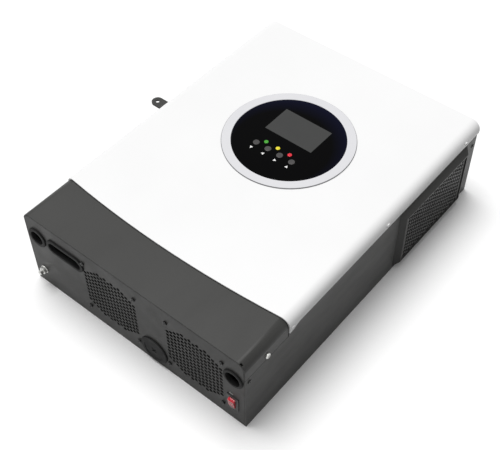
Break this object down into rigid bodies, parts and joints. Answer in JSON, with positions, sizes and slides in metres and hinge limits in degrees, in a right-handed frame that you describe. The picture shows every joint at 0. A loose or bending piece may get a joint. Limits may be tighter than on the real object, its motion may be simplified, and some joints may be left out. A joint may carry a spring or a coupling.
{
  "type": "wall-mount solar inverter",
  "caption": "Flat wall-mount solar inverter with a round control panel, fan-cooled terminal end, cable grommets, rocker switch and raised side vents.",
  "frame": {"origin": "centre of the back face, which lies on the wall or bench", "axes": "+X across the unit towards the rocker switch side, +Y from the terminal end to the far end, +Z out of the front cover"},
  "size_m": [0.3325, 0.4225, 0.111],
  "materials": {
    "dark_paint": "fine satin powder coat",
    "white_paint": "smooth satin paint",
    "zinc": "bright zinc plate",
    "dark_screw": "black zinc",
    "rubber": "matte rubber",
    "silver_plastic": "satin silver plastic",
    "black_gloss": "high gloss",
    "lcd_grey": "unlit display",
    "dark_plastic": "moulded",
    "button_grey": "soft satin",
    "red_plastic": "glossy rocker",
    "led_green": "tinted lens",
    "led_amber": "tinted lens",
    "led_red": "tinted lens",
    "pcb": "solder mask",
    "aluminium": "extruded",
    "copper": "plain copper",
    "ferrite": "sintered",
    "capacitor_sleeve": "shrink sleeve",
    "relay_blue": "moulded",
    "terminal_green": "moulded",
    "foam": "open-cell filter foam",
    "cable_grey": "PVC flat cable"
  },
  "bodies": {
    "housing": {"chassis_tray": "dark_paint", "terminal_end_panel": "dark_paint", "far_end_panel": "dark_paint", "cover_rail": "dark_paint", "front_cover": "white_paint", "terminal_cover": "dark_paint", "side_lug": "dark_paint", "display_bezel": "silver_plastic", "display_lens": "black_gloss", "lcd_module": "lcd_grey", "control_board": "pcb", "control_board_posts": "zinc", "grommet_left": "rubber", "grommet_slot": "rubber", "grommet_battery": "rubber", "grommet_right": "rubber", "switch_housing": "dark_plastic", "earth_stud": "zinc", "earth_nut": "zinc", "front_cover_screws": "white_paint", "terminal_cover_screws": "zinc", "panel_screws": "dark_screw", "fan_screws": "dark_screw", "main_board": "pcb", "board_standoffs": "zinc", "board_screws": "zinc", "heatsink_left": "aluminium", "heatsink_right": "aluminium", "power_transistors": "dark_plastic", "filter_inductors": "copper", "transformer_core": "ferrite", "transformer_winding": "copper", "bus_capacitors": "capacitor_sleeve", "relays": "relay_blue", "ac_terminal_block": "terminal_green", "pv_terminal_block": "terminal_green", "battery_busbars": "copper", "battery_fuses": "dark_plastic", "comm_sockets": "zinc", "ribbon_cable": "cable_grey", "fan_leads": "rubber", "vent_frame_right": "dark_paint", "vent_mesh_right": "dark_paint", "dust_filter_right": "foam", "vent_frame_left": "dark_paint", "vent_mesh_left": "dark_paint", "dust_filter_left": "foam", "fan_frame_left": "dark_plastic", "fan_frame_right": "dark_plastic", "led_green": "led_green", "led_amber": "led_amber", "led_red": "led_red"},
    "rocker": {"switch_rocker": "red_plastic"},
    "fan_rotor_left": {"fan_rotor_left": "dark_plastic"},
    "fan_rotor_right": {"fan_rotor_right": "dark_plastic"},
    "button_1": {"button_1": "button_grey"},
    "button_2": {"button_2": "button_grey"},
    "button_3": {"button_3": "button_grey"},
    "button_4": {"button_4": "button_grey"}
  },
  "joints": [
    {"name": "rocker_tilt", "type": "hinge", "parent": "housing", "child": "rocker", "pos_m": [0.1337, -0.2064, 0.0312], "axis": [-1, 0, 0], "range_deg": [0, 16]},
    {"name": "fan_left_spin", "type": "hinge", "parent": "housing", "child": "fan_rotor_left", "pos_m": [-0.0285, -0.1903, 0.054], "axis": [0, 1, 0], "continuous": true},
    {"name": "fan_right_spin", "type": "hinge", "parent": "housing", "child": "fan_rotor_right", "pos_m": [0.0855, -0.1903, 0.0525], "axis": [0, 1, 0], "continuous": true},
    {"name": "button_1_press", "type": "slide", "parent": "housing", "child": "button_1", "axis": [0, 0, -1], "range_m": [0, 0.0005], "stiffness_N_per_m": 400, "springref_m": -0.0005},
    {"name": "button_2_press", "type": "slide", "parent": "housing", "child": "button_2", "axis": [0, 0, -1], "range_m": [0, 0.0005], "stiffness_N_per_m": 400, "springref_m": -0.0005},
    {"name": "button_3_press", "type": "slide", "parent": "housing", "child": "button_3", "axis": [0, 0, -1], "range_m": [0, 0.0005], "stiffness_N_per_m": 400, "springref_m": -0.0005},
    {"name": "button_4_press", "type": "slide", "parent": "housing", "child": "button_4", "axis": [0, 0, -1], "range_m": [0, 0.0005], "stiffness_N_per_m": 400, "springref_m": -0.0005}
  ]
}
